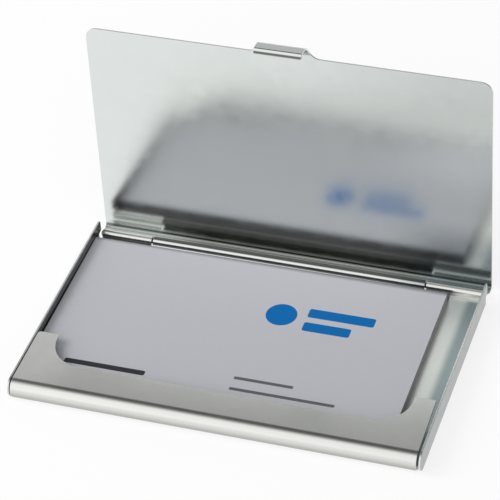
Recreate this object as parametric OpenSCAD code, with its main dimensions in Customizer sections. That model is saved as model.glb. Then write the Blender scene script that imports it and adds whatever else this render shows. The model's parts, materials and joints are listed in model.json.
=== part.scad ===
// Business card case in satin sheet aluminium: a bent tray with a rolled front edge, two end
// plates, and a lid on a pin hinge at the back, standing open, with a stack of cards inside.
// X runs along the hinge, Y from the rolled front edge to the hinge, Z up.
// The origin is the centre of the flat underside.

/* [Case] */
// Width over the end plates
case_w = 94; // [90:0.5:110]
// Depth from the rolled front edge to the back of the hinge barrel
case_d = 59.4; // [58.6:0.1:66]
// Height of the end plates and of the rolled front edge
case_h = 5.1; // [4.8:0.1:5.4]
// Thickness of the aluminium sheet
sheet = 0.45; // [0.4:0.05:0.5]

/* [Tray lip] */
// Depth of the lip at its two ears, from the rolled front edge
ear_depth = 18.2; // [17.5:0.1:24]
// Depth of the lip between the ears
lip_depth = 9.1; // [7:0.1:9.4]
// Width of the scallop between the ears
scallop_w = 82.4; // [60:0.2:84]
// Radius of the scallop's two inner corners
scallop_r = 8; // [3:0.5:8]
// Gap between the lip's left end and the left end plate
left_gap = 0.15; // [0.1:0.05:0.5]
// Gap between the lip's right end and the right end plate
right_gap = 0.45; // [0.1:0.05:0.5]

/* [Hinge] */
// Height of the hinge pin's axis over the underside
axis_z = 1.27; // [1.2:0.01:1.4]
// Outer radius of the knuckles
barrel_r = 1.15; // [1.1:0.01:1.15]
// Radius of the hinge pin
pin_r = 0.65; // [0.55:0.05:0.65]
// Radial running clearance of the lid's knuckle on the pin
pin_fit = 0.05; // [0.02:0.01:0.1]
// Width of the tray's left end knuckle
left_knuckle_w = 12.35; // [8:0.05:20]
// Width of the tray's right end knuckle
right_knuckle_w = 13.25; // [8:0.05:20]
// How much further in than the lip the left end knuckle starts
knuckle_inset = 0.3; // [0:0.05:0.5]
// Gap between neighbouring knuckles
knuckle_gap = 0.35; // [0.2:0.05:0.5]

/* [Lid] */
// How far the lid stands open: 92 is where its back bend meets the table
lid_angle = 92; // [0:1:92]
// Length of the lid from the pin's axis to its front edge
lid_len = 55.25; // [54:0.05:55.6]
// Gap between the closed lid and the end plates
lid_gap = 0.06; // [0.05:0.01:0.1]
// Outer radius of the bend between the lid and its back wall
bend_r = 1.2; // [1.1:0.05:1.2]
// Radius of the lid's front corners
corner_r = 2.7; // [1:0.1:5]
// Width of the thumb tab
tab_w = 11; // [8:0.5:30]
// Inner radius of the thumb tab's hook
tab_r = 2.75; // [2.7:0.05:3]
// Angle that the hook wraps round the rolled front edge
tab_wrap = 116; // [60:1:116]
// Radius of the flares at the thumb tab's root
tab_flare_r = 2.8; // [1:0.1:3]

/* [Cards] */
// Width of one card
card_w = 85; // [80:0.5:90]
// Depth of one card
card_d = 54; // [50:0.5:55]
// Thickness of one card
card_t = 0.315; // [0.25:0.005:0.32]
// Gap between the stack and the left end plate
card_gap = 0.12; // [0.1:0.01:1]
// Turn of the stack in the tray
card_turn = 0.25; // [0:0.05:0.25]

/* [Hidden] */
$fn = 96;
eps = 0.01;

half_w = case_w / 2;
front_y = -case_d / 2;
roll_r = case_h / 2;                    // outer radius of the rolled front edge
roll_y = front_y + roll_r;
axis_y = case_d / 2 - barrel_r;

tray_x0 = -half_w + sheet + left_gap;
tray_x1 = half_w - sheet - right_gap;
tray_mid = (tray_x0 + tray_x1) / 2;
left_knuckle_x = tray_x0 + knuckle_inset;
rise_r = 0.25;                          // inner radius where the floor turns up to a knuckle
rise_y = axis_y - barrel_r - rise_r;    // and where that bend starts
floor_end_y = rise_y - 0.05;            // the floor stops short of the lid's knuckle
curl_end = 0.08;                        // an end knuckle's curl ends this far behind the axis

lid_x0 = left_knuckle_x + left_knuckle_w + knuckle_gap;
lid_x1 = tray_x1 - right_knuckle_w - knuckle_gap;
lid_z = case_h + lid_gap - axis_z;      // the closed lid's inner face above the axis
wall_in = barrel_r - sheet;             // the back wall's inner face behind the axis
bend_y = barrel_r - bend_r;
bend_z = lid_z + sheet - bend_r;
wall_foot = barrel_r + 0.15;            // the wall's lower edge beside the centre knuckle
wall_corner_r = 0.9;
relief_w = 0.4;
relief_top = wall_foot + 1.1;
seam = 0.1;                             // gap where the lid's curled sheet ends
seam_z = 0.2;                           // height over the axis where that gap starts

tab_ahead = 0.8;                        // from the lid's front edge to the hook's centre
tab_y = -lid_len - tab_ahead;
tab_z = lid_z - tab_r;
tab_corner_r = 1;
tab_root = 0.5;                         // overlap of the tab with the lid behind its front edge
reach = 9;                              // the cutters that trim the tab reach past it
cut_z = -5;
cut_h = 15;
cut_len = 70;

plate_y = roll_y + 0.15;                // the end plates' round front sits just behind the roll
plate_foot_y = axis_y - 1.55;           // rear edge of a plate below its notch
notch_z = 2.1;                          // the notch clears the pin's end
notch_rise = 0.25;
fin_y = axis_y - 0.12;                  // rear edge of a plate above its notch
fin_r = 0.5;                            // rounded tip of the fin
pin_end_gap = 0.05;

card_fit = 0.06;                        // gap between the cards and the rolled edge
stack_z = sheet + 0.02;                 // the lowest card's underside
lip_inset = 0.6;                        // the upper cards stop this far behind the rolled edge

// Turns a (y, z) outline into a strip that runs from x0 to x1.
module strip(x0, x1) {
    translate([x0, 0, 0]) rotate([90, 0, 90]) linear_extrude(x1 - x0) children();
}

module ring(outer, inner) {
    difference() {
        circle(outer);
        circle(inner);
    }
}

// Front half of a ring, open to the back: the rolled front edge.
module roll_outline() {
    translate([roll_y, roll_r]) intersection() {
        ring(roll_r, roll_r - sheet);
        translate([-2 * roll_r, -2 * roll_r]) square([2 * roll_r, 4 * roll_r]);
    }
}

// Lip seen from above: a straight band with an ear at each end and rounded inner corners.
module lip_outline() {
    half_cut = scallop_w / 2;
    difference() {
        translate([tray_x0, roll_y]) square([tray_x1 - tray_x0, front_y + ear_depth - roll_y]);
        translate([tray_mid - half_cut + scallop_r, front_y + lip_depth])
            square([scallop_w - 2 * scallop_r, case_d]);
        translate([tray_mid - half_cut, front_y + lip_depth + scallop_r])
            square([scallop_w, case_d]);
        for (side = [-1, 1])
            translate([tray_mid + side * (half_cut - scallop_r), front_y + lip_depth + scallop_r])
                circle(scallop_r);
    }
}

// End knuckle of the tray: the floor turns up in front of the pin, then curls over it, down
// behind it and under it.
module tray_knuckle_outline() {
    rise_top = sheet + rise_r;
    translate([axis_y, axis_z]) difference() {
        ring(barrel_r, pin_r);
        translate([-2 * barrel_r, -2 * barrel_r])
            square([2 * barrel_r + curl_end, 2 * barrel_r]);
    }
    translate([axis_y - barrel_r, rise_top - eps]) square([sheet, axis_z - rise_top + 2 * eps]);
    translate([rise_y, rise_top]) intersection() {
        ring(rise_r + sheet, rise_r);
        translate([0, -rise_top]) square(rise_top);
    }
    translate([floor_end_y - eps, 0]) square([rise_y - floor_end_y + 2 * eps, sheet]);
}

module tray() {
    color("silver") {
        strip(-half_w + sheet, half_w - sheet)
            translate([roll_y, 0]) square([floor_end_y - roll_y, sheet]);
        strip(tray_x0, tray_x1) roll_outline();
        translate([0, 0, case_h - sheet]) linear_extrude(sheet) lip_outline();
        strip(left_knuckle_x, left_knuckle_x + left_knuckle_w) tray_knuckle_outline();
        strip(tray_x1 - right_knuckle_w, tray_x1) tray_knuckle_outline();
    }
}

// End plate: round at the front. At the back a notch clears the hinge, and a fin with a rounded
// tip reaches back over it, inside the lid's bend.
module end_plate(x0) {
    color("lightslategray") strip(x0, x0 + sheet) {
        translate([plate_y, roll_r]) circle(roll_r);
        polygon([[plate_y, 0], [plate_foot_y, 0], [plate_foot_y, notch_z],
                 [fin_y, notch_z + notch_rise], [fin_y, case_h - fin_r],
                 [fin_y - fin_r, case_h], [plate_y, case_h]]);
        translate([fin_y - fin_r, case_h - fin_r]) circle(fin_r);
    }
}

module left_end_plate() end_plate(-half_w);

module right_end_plate() end_plate(half_w - sheet);

module hinge_pin() {
    start = -half_w + sheet + pin_end_gap;
    color("dimgray") translate([start, axis_y, axis_z]) rotate([0, 90, 0])
        cylinder(r = pin_r, h = tray_x1 - start);
}

// Lid seen from above when closed, from the hinge bend to the rounded front corners.
module lid_outline() {
    translate([-half_w, -lid_len + corner_r]) square([case_w, lid_len - corner_r + bend_y]);
    translate([-half_w + corner_r, -lid_len]) square([case_w - 2 * corner_r, corner_r + eps]);
    for (side = [-1, 1])
        translate([side * (half_w - corner_r), -lid_len + corner_r]) circle(corner_r);
}

// Quarter bend between the lid and its back wall.
module bend_outline() {
    translate([bend_y, bend_z]) intersection() {
        ring(bend_r, bend_r - sheet);
        square(2 * bend_r);
    }
}

// Back wall of the lid seen from behind: rounded lower corners, a relief slot at each knuckle gap.
module wall_outline() {
    difference() {
        translate([-half_w, wall_foot]) square([case_w, bend_z - wall_foot]);
        for (side = [-1, 1]) translate([side * half_w, wall_foot]) difference() {
            translate([-wall_corner_r, -eps]) square([2 * wall_corner_r, wall_corner_r + eps]);
            translate([-side * wall_corner_r, wall_corner_r]) circle(wall_corner_r);
            translate([side > 0 ? -2 * wall_corner_r : wall_corner_r, -eps])
                square([wall_corner_r, 2 * wall_corner_r]);
        }
        for (x = [lid_x0 - knuckle_gap / 2, lid_x1 + knuckle_gap / 2])
            translate([x - relief_w / 2, 0]) square([relief_w, relief_top]);
    }
}

// Centre knuckle: the wall runs down behind the pin, under it, up in front and back over it.
module lid_knuckle_outline() {
    difference() {
        ring(barrel_r, pin_r + pin_fit);
        translate([wall_in - seam, seam_z]) square([seam, 2 * barrel_r]);
    }
    translate([wall_in, 0]) square([sheet, relief_top]);
}

// Hook of the thumb tab, in side view.
module hook_outline() {
    translate([tab_y, tab_z]) intersection() {
        ring(tab_r + sheet, tab_r);
        polygon([[0, 0], [0, reach], [-reach, reach], [-reach, 0],
                 reach * [-sin(tab_wrap), cos(tab_wrap)]]);
    }
    translate([tab_y - eps, lid_z]) square([tab_ahead + tab_root + eps, sheet]);
}

// Thumb tab: the hook, flared where it leaves the lid and with rounded corners at its end.
module thumb_tab() {
    half_tab = tab_w / 2;
    root = half_tab + tab_flare_r;
    end_z = tab_z + (tab_r + sheet) * cos(tab_wrap);
    difference() {
        strip(-root, root) hook_outline();
        for (side = [-1, 1]) {
            translate([side * root, -lid_len - tab_flare_r, cut_z])
                cylinder(r = tab_flare_r, h = cut_h);
            translate([side > 0 ? half_tab : -root - eps, -lid_len - reach, cut_z])
                cube([tab_flare_r + eps, reach - tab_flare_r, cut_h]);
            translate([side * half_tab, 0, end_z]) rotate([90, 0, 0])
                linear_extrude(cut_len) difference() {
                    translate([-tab_corner_r, -eps]) square([2 * tab_corner_r, tab_corner_r + eps]);
                    translate([-side * tab_corner_r, tab_corner_r]) circle(tab_corner_r);
                    translate([side > 0 ? -2 * tab_corner_r : tab_corner_r, -eps])
                        square([tab_corner_r, 2 * tab_corner_r]);
                }
        }
    }
}

module lid() {
    color("gainsboro") translate([0, axis_y, axis_z]) rotate([-lid_angle, 0, 0]) {
        translate([0, 0, lid_z]) linear_extrude(sheet) lid_outline();
        strip(-half_w, half_w) bend_outline();
        translate([0, barrel_r, 0]) rotate([90, 0, 0]) linear_extrude(sheet) wall_outline();
        strip(lid_x0, lid_x1) lid_knuckle_outline();
        thumb_tab();
    }
}

// Card number n, counted from the tray's floor. The low ones stop against the rolled edge.
module card(n) {
    inner_r = roll_r - sheet - card_fit;
    low_z = stack_z + (n - 1) * card_t;
    reach = sqrt(max(pow(inner_r, 2) - pow(max(roll_r - low_z, 0), 2), 0));
    front = max(roll_y - reach, front_y + lip_inset);
    translate([-half_w + sheet + card_gap, front + card_d, low_z])
        rotate([0, 0, card_turn]) translate([0, -card_d, 0])
            cube([card_w, card_d, card_t]);
}

module card_1() color("aliceblue") card(1);

module card_2() color("aliceblue") card(2);

module card_3() color("aliceblue") card(3);

module card_4() color("aliceblue") card(4);

module card_5() color("aliceblue") card(5);

module card_6() color("aliceblue") card(6);

module card_7() color("aliceblue") card(7);

module card_8() color("lightsteelblue") card(8);

tray();
left_end_plate();
right_end_plate();
hinge_pin();
lid();
card_1();
card_2();
card_3();
card_4();
card_5();
card_6();
card_7();
card_8();
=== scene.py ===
"""Satin aluminium business card case, standing open with a stack of cards in its tray.

Each sheet-metal piece is made as a workshop makes it: a flat outline is cut, then folded along its
side view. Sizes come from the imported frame, and the rest are named values in metres.
"""

import json
import math

import bmesh
import bpy
from mathutils import Matrix, Vector


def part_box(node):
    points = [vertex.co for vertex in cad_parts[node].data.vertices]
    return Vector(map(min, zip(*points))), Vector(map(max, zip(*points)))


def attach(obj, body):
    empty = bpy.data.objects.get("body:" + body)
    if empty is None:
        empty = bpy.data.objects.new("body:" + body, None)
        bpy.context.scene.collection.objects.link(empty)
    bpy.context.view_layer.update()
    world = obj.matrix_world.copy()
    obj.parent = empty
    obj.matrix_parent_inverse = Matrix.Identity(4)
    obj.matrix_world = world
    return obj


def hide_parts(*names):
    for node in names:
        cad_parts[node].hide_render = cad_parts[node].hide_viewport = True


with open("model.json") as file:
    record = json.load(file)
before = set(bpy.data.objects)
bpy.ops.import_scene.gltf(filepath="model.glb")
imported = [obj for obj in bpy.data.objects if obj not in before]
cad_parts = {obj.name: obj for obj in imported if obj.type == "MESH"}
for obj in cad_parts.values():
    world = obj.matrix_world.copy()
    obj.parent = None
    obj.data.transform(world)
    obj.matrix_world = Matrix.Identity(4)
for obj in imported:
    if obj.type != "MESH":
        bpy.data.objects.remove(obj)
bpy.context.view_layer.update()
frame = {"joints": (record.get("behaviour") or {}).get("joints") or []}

MM = 0.001

# ---------------------------------------------------------------- sizes from the frame
tray_lo, tray_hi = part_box("tray")
plate_lo, plate_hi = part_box("left_end_plate")
pin_lo, pin_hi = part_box("hinge_pin")
_, lid_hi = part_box("lid")
hinge = next(j for j in frame["joints"] if j["name"] == "lid_hinge")

AXIS = Vector(hinge["pos_m"])                 # a point on the hinge pin's axis
LID_ANGLE = math.radians(hinge["range_deg"][1])  # how far the lid stands open at rest
SHEET = plate_hi.x - plate_lo.x               # thickness of the aluminium sheet
MID_SHEET = SHEET / 2
HALF_W = lid_hi.x                             # half of the case's width
INNER_X = HALF_W - SHEET                      # inner face of an end plate
FRONT_Y = tray_lo.y
ROLL_R = tray_hi.z / 2                        # outer radius of the rolled front edge
ROLL_Y = FRONT_Y + ROLL_R
BARREL_R = tray_hi.y - AXIS.y                 # outer radius of the hinge knuckles
BARREL_MID = BARREL_R - MID_SHEET
PIN_R = (pin_hi.z - pin_lo.z) / 2

# ---------------------------------------------------------------- tray details
TRAY_X0, TRAY_X1 = -46.3 * MM, 46.1 * MM      # ends of the rolled edge and of the lip
TRAY_MID = (TRAY_X0 + TRAY_X1) / 2
EAR_DEPTH = 18.2 * MM
EAR_R = 0.8 * MM                              # rounded rear corner of the left ear
EAR_LEAN = 0.3 * MM                           # the right ear's edge leans away from the plate
LIP_DEPTH = 9.1 * MM
SCALLOP_W = 82.4 * MM
SCALLOP_R = 8 * MM
WIDEN_FROM, WIDEN_TO = 0.2 * MM, 0.3 * MM     # behind the roll, where the floor gets its full width
FLOOR_TRIM = 0.25 * MM                        # the full width stops this far ahead of the rise
RISE_R = 0.25 * MM                            # inner radius where the floor turns up to a knuckle
RISE_GAP = 0.15 * MM                          # left between the floor's end and that turn
FLOOR_END = AXIS.y - BARREL_R - RISE_R - RISE_GAP
LEFT_KNUCKLE = -46.1 * MM, -33.75 * MM        # where each end knuckle starts and ends
RIGHT_KNUCKLE = 32.85 * MM, 46.1 * MM
KNUCKLE_GAP = 0.35 * MM                       # beside the centre knuckle, at each end
TRAY_CURL = math.radians(265)                 # how far an end knuckle goes round the pin

# ---------------------------------------------------------------- end plate details
PLATE_FOOT = AXIS.y - 1.55 * MM               # rear edge of an end plate below its notch
NOTCH_Z = 2.1 * MM
NOTCH_RISE = 0.25 * MM
FIN_R = 0.5 * MM                              # rounded tip of the fin above the hinge

# ---------------------------------------------------------------- lid details
LID_LEN = 55.25 * MM                          # hinge axis to the lid's front edge
LID_Z = 3.89 * MM                             # closed lid's inner face above the axis
BEND_R = 1.2 * MM                             # outer radius of the bend to the back wall
CORNER_R = 2.7 * MM
WALL_FOOT = 1.3 * MM                          # the wall stops this far above the axis
WALL_CORNER_R = 0.9 * MM
LID_CURL = math.radians(303)                  # how far the centre knuckle goes round the pin
SLOT_W = 0.36 * MM                            # relief slots beside the centre knuckle
SLOT_TOP = 2.4 * MM
TAB_HALF = 5.5 * MM
TAB_CORNER_R = 0.35 * MM
TAB_R = 2.75 * MM                             # inner radius of the thumb tab's hook
TAB_DROP = 1.17 * MM                          # flat front of the tab, below the hook's centre
TAB_FLAP = 1.0 * MM                           # flap at the end of the hook
TAB_FLAP_TURN = math.radians(47)
TAB_FLAP_R = 0.35 * MM                        # radius of the flap's bend, at mid-sheet
TAB_FLARE_R = 2.8 * MM
TAB_AHEAD = 0.7 * MM                          # from the lid's front edge to the hook's centre

# ---------------------------------------------------------------- pin and card details
PIN_CHAMFER = 0.12 * MM
PIN_SIDES = 40
CARD_COUNT = 8
CARD_W, CARD_D = 85 * MM, 54 * MM
CARD_TURN = math.radians(0.25)                # the stack lies slightly turned in the tray
CARD_CORNER_R = 0.15 * MM
INK_T = 0.006 * MM

# The print is plain bars and a disc, in millimetres from the top card's left front corner.
MARK_DISC = 50.6, 38.0, 3.6                   # x, y and radius
MARK_BARS = (56.4, 38.6, 15.5, 2.9), (56.4, 34.0, 11.0, 2.9)  # x, y, width and height
LINE_BARS = (46.6, 15.2, 13.6, 0.9), (46.6, 11.7, 24.0, 0.9), (46.6, 8.2, 20.5, 0.9)
NAME_BARS = ((8.0, 11.4, 19.0, 1.5),)

# ---------------------------------------------------------------- edges and bends
SHEET_EDGE_R = 0.09 * MM                      # rounding of the deburred sheet edges
PLATE_EDGE_R = 0.11 * MM
FINE_EDGE_R = 0.03 * MM                       # pin ends and card edges
SHARP_ANGLE = math.radians(40)                # edges sharper than this are rounded
BEND_STEP = math.radians(4.5)                 # between rows of vertices in a bend


# ---------------------------------------------------------------- mesh helpers
def arc(cx, cy, radius, start, end, steps):
    """Points on an arc from angle start to angle end, in degrees."""
    angles = [math.radians(start + (end - start) * i / steps) for i in range(steps + 1)]
    return [(cx + radius * math.cos(a), cy + radius * math.sin(a)) for a in angles]


def new_piece(name, bm, body, materials, smooth=True):
    """Turns a bmesh into a piece that rides on a CAD body."""
    bmesh.ops.recalc_face_normals(bm, faces=bm.faces)
    mesh = bpy.data.meshes.new(name)
    bm.to_mesh(mesh)
    bm.free()
    for material in materials:
        mesh.materials.append(material)
    if smooth:
        mesh.shade_smooth()
    piece = bpy.data.objects.new(name, mesh)
    bpy.context.scene.collection.objects.link(piece)
    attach(piece, body)
    return piece


def round_edges(piece, width, segments=3):
    """Rounds every sharp edge, as deburring does."""
    bevel = piece.modifiers.new("deburr", "BEVEL")
    bevel.width = width
    bevel.segments = segments
    bevel.limit_method = "ANGLE"
    bevel.angle_limit = SHARP_ANGLE
    bevel.harden_normals = True
    bevel.use_clamp_overlap = False


def solid_from_outline(outline, place, thickness, cuts=()):
    """Closed solid over a flat outline. place(u, v, offset) gives the point in space; cuts are
    the v values where the sheet needs an extra row of vertices to bend."""
    flat = bmesh.new()
    flat.faces.new([flat.verts.new((u, v, 0)) for u, v in outline])
    for cut in cuts:
        everything = flat.verts[:] + flat.edges[:] + flat.faces[:]
        bmesh.ops.bisect_plane(flat, geom=everything, dist=1e-8, plane_co=(0, cut, 0),
                               plane_no=(0, 1, 0))
    flat.verts.index_update()
    solid = bmesh.new()
    sides = []
    for offset in (thickness / 2, -thickness / 2):
        sides.append([solid.verts.new(place(v.co.x, v.co.y, offset)) for v in flat.verts])
    upper, lower = sides
    for face in flat.faces:
        corners = [v.index for v in face.verts]
        solid.faces.new([upper[i] for i in corners])
        solid.faces.new([lower[i] for i in reversed(corners)])
    for edge in flat.edges:
        if edge.is_boundary:
            a, b = (v.index for v in edge.verts)
            rim = solid.faces.new([upper[a], upper[b], lower[b], lower[a]])
            rim.material_index = 1
    flat.free()
    return solid


class Fold:
    """Side view of a folded sheet, followed along the middle of its thickness. Each run is
    (length, turn): straight where turn is 0, else a round bend through turn radians."""

    def __init__(self, start, heading, runs):
        self.runs = []
        self.length = 0
        point = Vector(start)
        for length, turn in runs:
            self.runs.append((self.length, length, turn, point.copy(), heading))
            point, heading = self.along(point, heading, length, turn, length)
            self.length += length

    @staticmethod
    def along(point, heading, length, turn, distance):
        """Point and heading at a distance into a run."""
        if turn == 0:
            step = Vector((math.cos(heading), math.sin(heading))) * distance
            return point + step, heading
        curve = turn / length
        end = heading + curve * distance
        step = Vector((math.sin(end) - math.sin(heading), math.cos(heading) - math.cos(end)))
        return point + step / curve, end

    def place(self, x, s, offset):
        """Point in space of the flat sheet's point (x, s), offset from its middle."""
        run = next((r for r in self.runs if s <= r[0] + r[1] + 1e-9), self.runs[-1])
        first, length, turn, start, heading = run
        point, heading = self.along(start, heading, length, turn, s - first)
        return (x, point.x - math.sin(heading) * offset, point.y + math.cos(heading) * offset)

    def cuts(self, keep_clear=0.25 * MM):
        """Rows of vertices through every bend, ending short of a free edge."""
        rows = []
        for first, length, turn, _, _ in self.runs:
            count = max(1, round(abs(turn) / BEND_STEP))
            rows += [first + length * i / count for i in range(count + 1)]
        return [s for s in rows if keep_clear < s < self.length - keep_clear]


# ---------------------------------------------------------------- shader helpers
FLOAT_A, FLOAT_B, FLOAT_OUT = 2, 3, 0         # sockets of a Mix node that mixes numbers
COLOUR_A, COLOUR_B, COLOUR_OUT = 6, 7, 2      # sockets of a Mix node that mixes colours


def shader(name, metallic=0.0):
    """New material, with its node tree and its Principled shader."""
    material = bpy.data.materials.new(name)
    material.use_nodes = True
    principled = material.node_tree.nodes["Principled BSDF"]
    principled.inputs["Metallic"].default_value = metallic
    return material, material.node_tree, principled


def noise(tree, scale, detail=2.0, distortion=0.0, stretch=(1, 1, 1)):
    """Noise in the piece's own coordinates."""
    coords = tree.nodes.new("ShaderNodeTexCoord")
    mapping = tree.nodes.new("ShaderNodeMapping")
    mapping.inputs["Scale"].default_value = stretch
    texture = tree.nodes.new("ShaderNodeTexNoise")
    texture.inputs["Scale"].default_value = scale
    texture.inputs["Detail"].default_value = detail
    texture.inputs["Distortion"].default_value = distortion
    tree.links.new(coords.outputs["Object"], mapping.inputs["Vector"])
    tree.links.new(mapping.outputs["Vector"], texture.inputs["Vector"])
    return texture.outputs["Fac"]


def remap(tree, value, low, high):
    """Spreads the middle of a noise value's range over the range low to high."""
    node = tree.nodes.new("ShaderNodeMapRange")
    node.inputs["From Min"].default_value = 0.3
    node.inputs["From Max"].default_value = 0.7
    node.inputs["To Min"].default_value = low
    node.inputs["To Max"].default_value = high
    tree.links.new(value, node.inputs["Value"])
    return node.outputs["Result"]


def mix_colours(tree, factor, first, second):
    """Goes from the first colour to the second as the factor goes from 0 to 1."""
    node = tree.nodes.new("ShaderNodeMix")
    node.data_type = "RGBA"
    node.inputs[COLOUR_A].default_value = (*first, 1)
    node.inputs[COLOUR_B].default_value = (*second, 1)
    tree.links.new(factor, node.inputs["Factor"])
    return node.outputs[COLOUR_OUT]


def calculate(tree, operation, *values):
    """Math node on sockets or plain numbers."""
    node = tree.nodes.new("ShaderNodeMath")
    node.operation = operation
    for socket, value in zip(node.inputs, values):
        if isinstance(value, (int, float)):
            socket.default_value = value
        else:
            tree.links.new(value, socket)
    return node.outputs[0]


def bump(tree, heights, strength, distance):
    """Bump from one height or, added up, several."""
    total = heights[0]
    for height in heights[1:]:
        total = calculate(tree, "ADD", total, height)
    node = tree.nodes.new("ShaderNodeBump")
    node.inputs["Strength"].default_value = strength
    node.inputs["Distance"].default_value = distance
    tree.links.new(total, node.inputs["Height"])
    return node.outputs["Normal"]


def connect(tree, colour, roughness, normal=None):
    """Links the parts of a look to the Principled shader."""
    principled = tree.nodes["Principled BSDF"]
    tree.links.new(colour, principled.inputs["Base Color"])
    tree.links.new(roughness, principled.inputs["Roughness"])
    if normal is not None:
        tree.links.new(normal, principled.inputs["Normal"])


def zone(tree, closed=False, **limits):
    """Soft-edged mask over a region of the piece. Each limit names an axis and gives pairs
    (outside, inside) in metres between which the mask fades in. With closed, the limits are
    those of the closed lid, measured from the hinge axis."""
    position = tree.nodes.new("ShaderNodeTexCoord").outputs["Object"]
    if closed:
        shut = Matrix.Rotation(LID_ANGLE, 3, "X")
        place = tree.nodes.new("ShaderNodeMapping")
        place.inputs["Location"].default_value = -(shut @ Vector((0, AXIS.y, AXIS.z)))
        place.inputs["Rotation"].default_value = (LID_ANGLE, 0, 0)
        tree.links.new(position, place.inputs["Vector"])
        position = place.outputs["Vector"]
    split = tree.nodes.new("ShaderNodeSeparateXYZ")
    tree.links.new(position, split.inputs["Vector"])
    mask = 1.0
    for axis, pairs in limits.items():
        for outside, inside in pairs:
            fade = tree.nodes.new("ShaderNodeMapRange")
            fade.interpolation_type = "SMOOTHSTEP"
            fade.inputs["From Min"].default_value = outside
            fade.inputs["From Max"].default_value = inside
            tree.links.new(split.outputs[axis.upper()], fade.inputs["Value"])
            mask = calculate(tree, "MULTIPLY", mask, fade.outputs["Result"])
    return mask


def paint_light_and_shade(tree, mask, tint):
    """Paints light or shade into the colour: multiplies it by a tint, or by a grey level, where the
    mask is 1.
    """
    if isinstance(tint, float):
        tint = (tint, tint, tint)
    node = tree.nodes.new("ShaderNodeMix")
    node.data_type = "RGBA"
    node.blend_type = "MULTIPLY"
    node.inputs[COLOUR_B].default_value = (*tint, 1)
    colour = tree.nodes["Principled BSDF"].inputs["Base Color"]
    tree.links.new(mask, node.inputs["Factor"])
    tree.links.new(colour.links[0].from_socket, node.inputs[COLOUR_A])
    tree.links.new(node.outputs[COLOUR_OUT], colour)


def set_roughness(tree, mask, value):
    """Moves the roughness to another value where the mask is 1."""
    node = tree.nodes.new("ShaderNodeMix")
    node.inputs[FLOAT_B].default_value = value
    roughness = tree.nodes["Principled BSDF"].inputs["Roughness"]
    tree.links.new(mask, node.inputs["Factor"])
    tree.links.new(roughness.links[0].from_socket, node.inputs[FLOAT_A])
    tree.links.new(node.outputs[FLOAT_OUT], roughness)


# ---------------------------------------------------------------- materials
def satin_aluminium(name, light, dark, roughness):
    """Bead-blasted and anodised sheet: a fine even grain, faint clouds, a soft mirror."""
    material, tree, _ = shader(name, metallic=1.0)
    clouds = noise(tree, scale=160, detail=4, distortion=0.6)
    patches = noise(tree, scale=420, detail=3)
    grain = noise(tree, scale=9000, detail=2)
    pits = noise(tree, scale=3200, detail=3)
    connect(tree, mix_colours(tree, clouds, dark, light),
            remap(tree, patches, roughness - 0.025, roughness + 0.025),
            bump(tree, [grain, pits], strength=0.10, distance=0.02 * MM))
    return material


def cut_edge(name):
    """Sheared and deburred edge of the sheet: brighter, with fine marks along it."""
    material, tree, _ = shader(name, metallic=1.0)
    marks = noise(tree, scale=2500, detail=3, stretch=(1, 1, 6))
    connect(tree, mix_colours(tree, marks, (0.60, 0.61, 0.61), (0.86, 0.87, 0.87)),
            remap(tree, marks, 0.22, 0.36),
            bump(tree, [marks], strength=0.25, distance=0.01 * MM))
    return material


def drawn_steel(name):
    """Drawn wire of the hinge pin: darker, with marks along its length."""
    material, tree, _ = shader(name, metallic=1.0)
    marks = noise(tree, scale=5000, detail=3, stretch=(0.02, 1, 1))
    connect(tree, mix_colours(tree, marks, (0.06, 0.06, 0.065), (0.12, 0.12, 0.125)),
            remap(tree, marks, 0.25, 0.4),
            bump(tree, [marks], strength=0.3, distance=0.01 * MM))
    return material


def card_stock(name, face, shade):
    """Smooth coated card with a faint fibre mottle."""
    material, tree, principled = shader(name)
    mottle = noise(tree, scale=700, detail=5)
    fibres = noise(tree, scale=4200, detail=4, distortion=1.2)
    connect(tree, mix_colours(tree, mottle, shade, face), remap(tree, fibres, 0.48, 0.62),
            bump(tree, [fibres], strength=0.12, distance=0.02 * MM))
    principled.inputs["Specular IOR Level"].default_value = 0.35
    return material


def ink(name, colour, worn):
    """Printed ink: the paper's fibres show through a little."""
    material, tree, principled = shader(name)
    fibres = noise(tree, scale=3800, detail=4, distortion=1.0)
    connect(tree, mix_colours(tree, fibres, colour, worn), remap(tree, fibres, 0.42, 0.58))
    principled.inputs["Specular IOR Level"].default_value = 0.1
    return material
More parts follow.
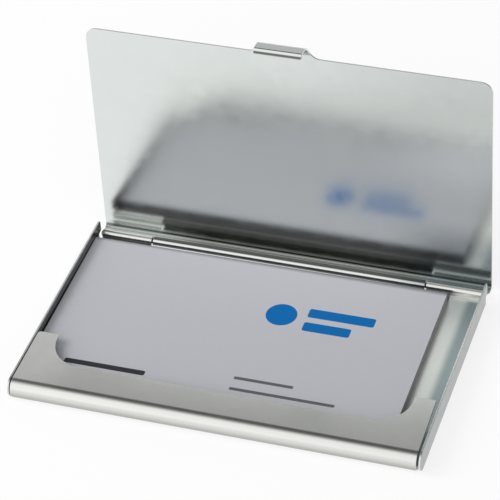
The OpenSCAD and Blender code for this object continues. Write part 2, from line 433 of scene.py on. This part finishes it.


# ---------------------------------------------------------------- painted light and shade of single regions
def tone_tray(tree):
    """The floor is matt at its rear. Painted light brightens the floor, and painted shade darkens
    and blues the strip beside the right plate. The right knuckle's rear and the roll's underside
    get painted shade too, and the lip's left ear a painted highlight."""
    floor_face = [(0.3 * MM, 0.4 * MM), (0.9 * MM, 0.7 * MM)]
    floor_depth = [(ROLL_Y, ROLL_Y + 1 * MM), (FLOOR_END, FLOOR_END - 1 * MM)]
    shaded_strip = [(INNER_X - 4.8 * MM, INNER_X - 2.6 * MM)]
    # painted shade: the floor strip beside the right plate is darkened and tinted blue, standing in
    # for the plate's shadow
    paint_light_and_shade(tree, zone(tree, x=shaded_strip, y=floor_depth, z=floor_face), (0.46, 0.52, 0.56))
    # painted light: the floor's top face is brightened, standing in for light falling on it
    paint_light_and_shade(tree, zone(tree, y=floor_depth, z=floor_face), 1.16)

    # painted shade on the rear of the right end knuckle
    right = [(25 * MM, 32 * MM)]
    behind_axis = [(AXIS.y - 0.1 * MM, AXIS.y + 0.1 * MM)]
    paint_light_and_shade(tree, zone(tree, x=right, y=behind_axis, z=[(1.5 * MM, 1.8 * MM)]), 0.30)

    # painted shade on the underside of the rolled front edge, standing in for the shaded table it
    # mirrors
    roll_front = [(ROLL_Y - 0.6 * MM, ROLL_Y - 1.2 * MM)]
    roll_bottom = [(3.6 * MM, 1.2 * MM)]
    paint_light_and_shade(tree, zone(tree, y=roll_front, z=roll_bottom), (0.50, 0.50, 0.49))

    up_to_knuckle = [(ROLL_Y, ROLL_Y + 1 * MM), (FLOOR_END + 1 * MM, FLOOR_END + 0.6 * MM)]
    floor_and_rise = [(0.3 * MM, 0.4 * MM), (1.5 * MM, 1.0 * MM)]
    set_roughness(tree, zone(tree, y=up_to_knuckle, z=floor_and_rise), 0.34)

    # painted highlight: the top of the lip's left ear is brightened
    left_ear = [(-30 * MM, -44 * MM)]
    lip_top = [(4.7 * MM, 4.9 * MM)]
    paint_light_and_shade(tree, zone(tree, x=left_ear, z=lip_top), 1.22)


def tone_plates(tree):
    """The inner faces get painted shade beside the hinge, and the left one all along."""
    # painted shade on both inner faces beside the hinge
    face = INNER_X + 0.1 * MM
    inner_faces = [(-face - 0.1 * MM, -face), (face + 0.1 * MM, face)]
    beside_hinge = [(25.2 * MM, 26.6 * MM)]
    paint_light_and_shade(tree, zone(tree, x=inner_faces, y=beside_hinge), 0.35)
    # painted shade on the left plate's inner face, all along, standing in for the shaded card it
    # mirrors
    left_face = [(-face - 0.1 * MM, -face), (-HALF_W + 1.0 * MM, -HALF_W + 0.7 * MM)]
    paint_light_and_shade(tree, zone(tree, x=left_face), (0.62, 0.62, 0.63))


def tone_lid_foot(tree):
    """Painted shade darkens the trough between the knuckle and the open lid: its middle, the
    knuckle's top, and the crease at the foot of the lid."""
    lid_face = AXIS.y + LID_Z                 # the open lid's inner face
    # painted shade over the middle of the hinge trough
    trough = [(AXIS.y - 0.2 * MM, AXIS.y + 0.5 * MM), (lid_face + 0.35 * MM, lid_face + 0.15 * MM)]
    middle = [(-34 * MM, -20 * MM), (36 * MM, 24 * MM)]
    trough_height = [(0.25 * MM, 0.4 * MM), (4.5 * MM, 2.4 * MM)]
    paint_light_and_shade(tree, zone(tree, x=middle, y=trough, z=trough_height), (0.70, 0.69, 0.68))

    # painted shade on the top of the centre knuckle
    knuckle_top = [(AXIS.y - 0.7 * MM, AXIS.y - 0.3 * MM), (AXIS.y + 1.4 * MM, AXIS.y + 1.2 * MM)]
    knuckle_height = [(0.6 * MM, 0.8 * MM)]
    paint_light_and_shade(tree, zone(tree, y=knuckle_top, z=knuckle_height), (0.19, 0.185, 0.18))

    # painted shade in the crease at the foot of the lid
    crease = [(lid_face - 0.4 * MM, lid_face - 0.2 * MM),
              (lid_face + 0.35 * MM, lid_face + 0.2 * MM)]
    crease_height = [(0.25 * MM, 0.4 * MM), (1.6 * MM, 1.0 * MM)]
    paint_light_and_shade(tree, zone(tree, y=crease, z=crease_height), (0.25, 0.27, 0.26))


def tone_lid_face(tree):
    """The lid's inner face, at the right: painted shade near its foot and at its top, and painted
    light between."""
    inner = [(LID_Z + 0.3 * MM, LID_Z + 0.2 * MM)]
    # painted shade near the foot of the lid's inner face, at the right
    foot_x, foot_y = [(20 * MM, 38 * MM)], [(-18 * MM, -8 * MM)]
    paint_light_and_shade(tree, zone(tree, closed=True, x=foot_x, y=foot_y, z=inner), (0.55, 0.58, 0.60))
    # painted shade at the top of the lid's inner face, at the right
    top_x, top_y = [(-5 * MM, 45 * MM)], [(-38 * MM, -50 * MM)]
    paint_light_and_shade(tree, zone(tree, closed=True, x=top_x, y=top_y, z=inner), 0.80)
    # painted light between the foot and the top of the lid's inner face, at the right
    side_x, side_y = [(5 * MM, 45 * MM)], [(-20 * MM, -34 * MM), (-48 * MM, -36 * MM)]
    paint_light_and_shade(tree, zone(tree, closed=True, x=side_x, y=side_y, z=inner), 1.25)


def tone_card_back(tree, outside, inside, level):
    """Painted shade darkens the cards at the back, beside the hinge. The zone fades in between two
    distances from their rear edge."""
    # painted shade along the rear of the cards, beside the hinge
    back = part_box("card_8")[1].y
    paint_light_and_shade(tree, zone(tree, y=[(back - outside, back - inside)]), level)


METAL_TRAY = satin_aluminium("tray_satin_aluminium", light=(0.77, 0.775, 0.75),
                             dark=(0.71, 0.715, 0.69), roughness=0.20)
# painted shade: the end plates get a far darker colour than the tray and lid, standing in for the
# shaded table they mirror
METAL_PLATE_SHADED = satin_aluminium("plate_aluminium_painted_shade", light=(0.36, 0.37, 0.37),
                              dark=(0.32, 0.33, 0.33), roughness=0.24)
METAL_LID = satin_aluminium("lid_satin_aluminium", light=(0.755, 0.785, 0.77),
                            dark=(0.715, 0.745, 0.73), roughness=0.19)
METAL_EDGE = cut_edge("sheared_edge")
STEEL = drawn_steel("drawn_steel")
CARD = card_stock("card_stock", face=(0.665, 0.67, 0.715), shade=(0.645, 0.65, 0.695))
CARD_EDGE = card_stock("card_cut_edge", face=(0.62, 0.62, 0.62), shade=(0.48, 0.48, 0.50))
INK_BLUE = ink("ink_blue", colour=(0.002, 0.165, 0.52), worn=(0.006, 0.20, 0.58))
INK_GREY = ink("ink_grey", colour=(0.12, 0.12, 0.13), worn=(0.20, 0.20, 0.21))
INK_DARK = ink("ink_dark", colour=(0.03, 0.03, 0.035), worn=(0.07, 0.07, 0.08))

tone_tray(METAL_TRAY.node_tree)
tone_plates(METAL_PLATE_SHADED.node_tree)
tone_lid_foot(METAL_LID.node_tree)
tone_lid_face(METAL_LID.node_tree)
tone_card_back(CARD.node_tree, outside=1.5 * MM, inside=0.1 * MM, level=0.38)
tone_card_back(CARD_EDGE.node_tree, outside=0.6 * MM, inside=0.45 * MM, level=0.22)


# ---------------------------------------------------------------- tray
def make_tray():
    """One sheet: lip, rolled front edge, floor, and two end knuckles that turn up in front of the
    pin and curl back over it."""
    lip = FRONT_Y + EAR_DEPTH - ROLL_Y
    roll = (ROLL_R - MID_SHEET) * math.pi
    rise = RISE_R + MID_SHEET
    floor = AXIS.y - BARREL_MID - rise - ROLL_Y
    fold = Fold(
        (FRONT_Y + EAR_DEPTH, 2 * ROLL_R - MID_SHEET), math.pi,
        [(lip, 0), (roll, math.pi), (floor, 0), (rise * math.pi / 2, math.pi / 2),
         (AXIS.z - MID_SHEET - rise, 0), (BARREL_MID * TRAY_CURL, -TRAY_CURL)])

    floor_start = lip + roll
    wide_start = floor_start + WIDEN_TO
    wide_end = floor_start + floor - FLOOR_TRIM
    knuckle_foot = floor_start + (FLOOR_END - ROLL_Y)
    scallop = EAR_DEPTH - LIP_DEPTH
    cut_x0, cut_x1 = TRAY_MID - SCALLOP_W / 2, TRAY_MID + SCALLOP_W / 2

    outline = arc(TRAY_X0 + EAR_R, EAR_R, EAR_R, 180, 270, steps=8)
    outline += [(cut_x0, 0)]
    outline += arc(cut_x0 + SCALLOP_R, scallop - SCALLOP_R, SCALLOP_R, 180, 90, steps=24)
    outline += arc(cut_x1 - SCALLOP_R, scallop - SCALLOP_R, SCALLOP_R, 90, 0, steps=24)
    outline += [(cut_x1, 0), (TRAY_X1 - EAR_LEAN, 0), (TRAY_X1, lip)]
    outline += [(TRAY_X1, floor_start + WIDEN_FROM), (INNER_X, wide_start), (INNER_X, wide_end)]
    outline += [(RIGHT_KNUCKLE[1], wide_end), (RIGHT_KNUCKLE[1], fold.length)]
    outline += [(RIGHT_KNUCKLE[0], fold.length), (RIGHT_KNUCKLE[0], knuckle_foot)]
    outline += [(LEFT_KNUCKLE[1], knuckle_foot), (LEFT_KNUCKLE[1], fold.length)]
    outline += [(LEFT_KNUCKLE[0], fold.length), (LEFT_KNUCKLE[0], wide_end)]
    outline += [(-INNER_X, wide_end), (-INNER_X, wide_start), (TRAY_X0, floor_start + WIDEN_FROM)]

    bm = solid_from_outline(outline, fold.place, SHEET, fold.cuts())
    tray = new_piece("tray_sheet", bm, "base", [METAL_TRAY, METAL_EDGE])
    round_edges(tray, SHEET_EDGE_R)
    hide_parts("tray")


# ---------------------------------------------------------------- end plates
def make_end_plate(name, node):
    """Flat plate with a half-round front. At the back a notch clears the hinge, and a fin with a
    rounded tip reaches back over it."""
    lo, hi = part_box(node)
    outline = [(PLATE_FOOT, 0), (PLATE_FOOT, NOTCH_Z), (hi.y, NOTCH_Z + NOTCH_RISE)]
    outline += arc(hi.y - FIN_R, hi.z - FIN_R, FIN_R, 0, 90, steps=10)
    outline += arc(lo.y + ROLL_R, ROLL_R, ROLL_R, 90, 270, steps=48)

    def place(y, z, offset):
        return ((lo.x + hi.x) / 2 + offset, y, z)

    bm = solid_from_outline(outline, place, SHEET)
    plate = new_piece(name, bm, "base", [METAL_PLATE_SHADED, METAL_EDGE])
    round_edges(plate, PLATE_EDGE_R)
    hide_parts(node)


# ---------------------------------------------------------------- lid
def make_lid():
    """One sheet: hooked thumb tab, lid, back wall and the long centre knuckle. It is folded
    closed, measured from the hinge axis, and then turned open."""
    hook_y = -LID_LEN - TAB_AHEAD
    hook_r = TAB_R + MID_SHEET
    bend_y = BARREL_R - BEND_R
    bend_z = LID_Z + SHEET - BEND_R
    bend = (BEND_R - MID_SHEET) * math.pi / 2
    turn = TAB_FLAP_TURN
    tip_y = TAB_FLAP_R * (1 - math.cos(turn)) + TAB_FLAP * math.sin(turn)
    tip_z = TAB_DROP + TAB_FLAP_R * math.sin(turn) + TAB_FLAP * math.cos(turn)
    fold = Fold(
        (hook_y - hook_r + tip_y, LID_Z - TAB_R - tip_z), math.pi / 2 + turn,
        [(TAB_FLAP, 0), (TAB_FLAP_R * turn, -turn), (TAB_DROP, 0),
         (hook_r * math.pi / 2, -math.pi / 2), (bend_y - hook_y, 0),
         (bend, -math.pi / 2), (bend_z, 0), (BARREL_MID * LID_CURL, -LID_CURL)])

    hook = TAB_FLAP + TAB_FLAP_R * turn + TAB_DROP + hook_r * math.pi / 2
    front = hook + TAB_AHEAD                  # where the lid's front edge lies along the sheet
    wall = hook + bend_y - hook_y + bend
    foot = wall + bend_z - WALL_FOOT
    slot_r = SLOT_W / 2
    slot_s = wall + bend_z - SLOT_TOP + slot_r
    knuckle_x0, knuckle_x1 = LEFT_KNUCKLE[1] + KNUCKLE_GAP, RIGHT_KNUCKLE[0] - KNUCKLE_GAP
    flare_x, flare_s = TAB_HALF + TAB_FLARE_R, front - TAB_FLARE_R
    corner_x, corner_s = HALF_W - CORNER_R, front + CORNER_R
    wall_x, wall_s = HALF_W - WALL_CORNER_R, foot - WALL_CORNER_R
    tab_x = TAB_HALF - TAB_CORNER_R

    outline = arc(-tab_x, TAB_CORNER_R, TAB_CORNER_R, 180, 270, steps=8)
    outline += arc(tab_x, TAB_CORNER_R, TAB_CORNER_R, 270, 360, steps=8)
    outline += arc(flare_x, flare_s, TAB_FLARE_R, 180, 90, steps=14)
    outline += arc(corner_x, corner_s, CORNER_R, 270, 360, steps=16)
    outline += arc(wall_x, wall_s, WALL_CORNER_R, 0, 90, steps=8)
    outline += [(knuckle_x1 + SLOT_W, foot)]
    outline += arc(knuckle_x1 + slot_r, slot_s, slot_r, 0, -180, steps=8)
    outline += [(knuckle_x1, fold.length), (knuckle_x0, fold.length)]
    outline += arc(knuckle_x0 - slot_r, slot_s, slot_r, 0, -180, steps=8)
    outline += [(knuckle_x0 - SLOT_W, foot)]
    outline += arc(-wall_x, wall_s, WALL_CORNER_R, 90, 180, steps=8)
    outline += arc(-corner_x, corner_s, CORNER_R, 180, 270, steps=16)
    outline += arc(-flare_x, flare_s, TAB_FLARE_R, 90, 0, steps=14)

    opened = Matrix.Translation((0, AXIS.y, AXIS.z)) @ Matrix.Rotation(-LID_ANGLE, 4, "X")

    def place(x, s, offset):
        return opened @ Vector(fold.place(x, s, offset))

    bm = solid_from_outline(outline, place, SHEET, fold.cuts())
    lid = new_piece("lid_sheet", bm, "lid", [METAL_LID, METAL_EDGE])
    round_edges(lid, SHEET_EDGE_R)
    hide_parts("lid")


# ---------------------------------------------------------------- hinge pin
def make_pin():
    """Straight wire with chamfered ends, turned on the hinge axis."""
    profile = [(pin_lo.x, 0), (pin_lo.x, PIN_R - PIN_CHAMFER), (pin_lo.x + PIN_CHAMFER, PIN_R)]
    profile += [(pin_hi.x - PIN_CHAMFER, PIN_R), (pin_hi.x, PIN_R - PIN_CHAMFER), (pin_hi.x, 0)]
    bm = bmesh.new()
    rings = []
    for x, radius in profile:
        count = PIN_SIDES if radius > 0 else 1
        angles = [2 * math.pi * i / count for i in range(count)]
        ring = [(x, AXIS.y + radius * math.cos(a), AXIS.z + radius * math.sin(a)) for a in angles]
        rings.append([bm.verts.new(point) for point in ring])
    for near, far in zip(rings, rings[1:]):
        for i in range(PIN_SIDES):
            j = (i + 1) % PIN_SIDES
            corners = [near[i % len(near)], near[j % len(near)]]
            corners += [far[j % len(far)], far[i % len(far)]]
            bm.faces.new(list(dict.fromkeys(corners)))
    pin = new_piece("hinge_wire", bm, "base", [STEEL])
    round_edges(pin, FINE_EDGE_R, segments=2)
    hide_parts("hinge_pin")


# ---------------------------------------------------------------- cards
def card_frame(node):
    """Matrix from a card's own corner, at its left front, to the row frame."""
    lo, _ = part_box(node)
    corner = Vector((lo.x + CARD_D * math.sin(CARD_TURN), lo.y, lo.z))
    return Matrix.Translation(corner) @ Matrix.Rotation(CARD_TURN, 4, "Z")


def make_card(index):
    """One card, with crisp corners and its cut edges softened a little."""
    node = f"card_{index}"
    lo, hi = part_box(node)
    thickness = hi.z - lo.z
    matrix = card_frame(node)
    r = CARD_CORNER_R
    outline = arc(r, r, r, 180, 270, steps=4) + arc(CARD_W - r, r, r, 270, 360, steps=4)
    outline += arc(CARD_W - r, CARD_D - r, r, 0, 90, steps=4)
    outline += arc(r, CARD_D - r, r, 90, 180, steps=4)

    def place(x, y, offset):
        return matrix @ Vector((x, y, thickness / 2 + offset))

    bm = solid_from_outline(outline, place, thickness)
    card = new_piece(f"paper_{node}", bm, "cards", [CARD, CARD_EDGE])
    round_edges(card, FINE_EDGE_R, segments=2)
    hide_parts(node)


def print_shapes(name, outlines, material, top_node):
    """Flat printed shapes on the top card. Outlines are in millimetres from its left front
    corner."""
    matrix = card_frame(top_node)
    lo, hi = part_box(top_node)

    def place(x, y, offset):
        return matrix @ Vector((x * MM, y * MM, hi.z - lo.z + offset))

    solid = bmesh.new()
    for outline in outlines:
        part = solid_from_outline(outline, place, INK_T)
        mesh = bpy.data.meshes.new("part")
        part.to_mesh(mesh)
        part.free()
        solid.from_mesh(mesh)
        bpy.data.meshes.remove(mesh)
    for face in solid.faces:
        face.material_index = 0               # the sides too: a print has one material
    new_piece(name, solid, "cards", [material], smooth=False)


def bar(x, y, width, height):
    """Outline of a plain bar with slightly rounded ends."""
    r = min(height * 0.3, 0.5)
    outline = arc(x + r, y + r, r, 180, 270, steps=4)
    outline += arc(x + width - r, y + r, r, 270, 360, steps=4)
    outline += arc(x + width - r, y + height - r, r, 0, 90, steps=4)
    outline += arc(x + r, y + height - r, r, 90, 180, steps=4)
    return outline


def make_print():
    """Plain bars and a disc: no letters and no mark."""
    top = "card_8"
    disc = arc(*MARK_DISC, 0, 352.5, steps=47)
    print_shapes("print_mark", [disc] + [bar(*b) for b in MARK_BARS], INK_BLUE, top)
    print_shapes("print_lines", [bar(*b) for b in LINE_BARS], INK_GREY, top)
    print_shapes("print_name", [bar(*b) for b in NAME_BARS], INK_DARK, top)


# ---------------------------------------------------------------- studio
CAMERA_AZIMUTH = math.radians(21.10)
CAMERA_ELEVATION = math.radians(39.93)
CAMERA_ROLL = math.radians(-4.72)
CAMERA_AIM = Vector((-3.84, 13.74, 16.63)) * MM
CAMERA_DISTANCE = 577.4 * MM
CAMERA_SENSOR, CAMERA_LENS = 36, 185.7        # in millimetres, as Blender wants them

FLOOR_HALF = 3.0
FLOOR_GREY = 0.26
FLOOR_GLOW = 0.80

# Brightness of the sky by angle: 0 is the horizon behind, 90 overhead, 180 the horizon in front.
SKY_LEVELS = {
    0: 0.5, 42: 0.53, 50: 0.36, 58: 0.10, 84: 0.10, 100: 0.45, 116: 0.95, 165: 1.02, 180: 0.95,
}
SKY_GAIN = 2.0                                # gain straight ahead; the levels are divided by it
SKY_SLOPE = -1.0                              # change of gain towards the right

KEY_SIZE = 0.5, 0.4
KEY_POWER = 2.2
KEY_PLACE = -0.65, -0.12, 0.60


def make_camera():
    """Three-quarter view from the front right, looking down."""
    level = math.cos(CAMERA_ELEVATION)
    back = Vector((math.sin(CAMERA_AZIMUTH) * level, -math.cos(CAMERA_AZIMUTH) * level,
                   math.sin(CAMERA_ELEVATION)))
    data = bpy.data.cameras.new("camera")
    data.sensor_width = CAMERA_SENSOR
    data.lens = CAMERA_LENS
    data.clip_start, data.clip_end = 0.01, 20
    camera = bpy.data.objects.new("camera", data)
    camera.location = CAMERA_AIM + back * CAMERA_DISTANCE
    facing = (-back).to_track_quat("-Z", "Y").to_matrix().to_4x4()
    turned = facing @ Matrix.Rotation(CAMERA_ROLL, 4, "Z")
    camera.rotation_euler = turned.to_euler()
    bpy.context.scene.collection.objects.link(camera)
    bpy.context.scene.camera = camera


def make_floor():
    """Plain pale table, light enough to read as white."""
    bm = bmesh.new()
    bmesh.ops.create_grid(bm, x_segments=8, y_segments=8, size=FLOOR_HALF)
    mesh = bpy.data.meshes.new("floor")
    bm.to_mesh(mesh)
    bm.free()
    material, _, principled = shader("pale_table")
    principled.inputs["Base Color"].default_value = (FLOOR_GREY, FLOOR_GREY, FLOOR_GREY, 1)
    principled.inputs["Roughness"].default_value = 0.9
    principled.inputs["Specular IOR Level"].default_value = 0.0
    principled.inputs["Emission Color"].default_value = (1, 1, 1, 1)
    principled.inputs["Emission Strength"].default_value = FLOOR_GLOW
    mesh.materials.append(material)
    floor = bpy.data.objects.new("floor", mesh)
    bpy.context.scene.collection.objects.link(floor)


def make_sky():
    """Studio walls and ceiling as a soft gradient: grey behind, a dark gap, then a wide soft box
    overhead and in front, brighter on the left."""
    world = bpy.data.worlds.new("studio")
    bpy.context.scene.world = world
    world.use_nodes = True
    tree = world.node_tree
    coords = tree.nodes.new("ShaderNodeTexCoord")
    split = tree.nodes.new("ShaderNodeSeparateXYZ")
    tree.links.new(coords.outputs["Generated"], split.inputs["Vector"])
    angle = calculate(tree, "ARCTAN2", split.outputs["Z"], split.outputs["Y"])
    ramp = tree.nodes.new("ShaderNodeValToRGB")
    stops = ramp.color_ramp.elements
    while len(stops) < len(SKY_LEVELS):
        stops.new(0.5)
    for stop, (degrees, level) in zip(stops, SKY_LEVELS.items()):
        stop.position = degrees / 180
        stop.color = (level / SKY_GAIN, level / SKY_GAIN, level / SKY_GAIN, 1)
    tree.links.new(calculate(tree, "DIVIDE", angle, math.pi), ramp.inputs["Fac"])
    gain = calculate(tree, "MULTIPLY_ADD", split.outputs["X"], SKY_SLOPE, SKY_GAIN)
    background = tree.nodes["Background"]
    tree.links.new(ramp.outputs["Color"], background.inputs["Color"])
    tree.links.new(gain, background.inputs["Strength"])


def make_key_light():
    """Large soft light from the upper left, a little in front. It isn't mirrored in the metal."""
    data = bpy.data.lights.new("key", "AREA")
    data.shape = "RECTANGLE"
    data.size, data.size_y = KEY_SIZE
    data.energy = KEY_POWER
    light = bpy.data.objects.new("key", data)
    light.location = KEY_PLACE
    light.rotation_euler = (-light.location).to_track_quat("-Z", "Y").to_euler()
    light.visible_glossy = False
    bpy.context.scene.collection.objects.link(light)


make_camera()
make_tray()
make_end_plate("left_plate", "left_end_plate")
make_end_plate("right_plate", "right_end_plate")
make_pin()
make_lid()
for number in range(1, CARD_COUNT + 1):
    make_card(number)
make_print()
make_floor()
make_sky()
make_key_light()
bpy.context.scene.view_settings.view_transform = "Standard"
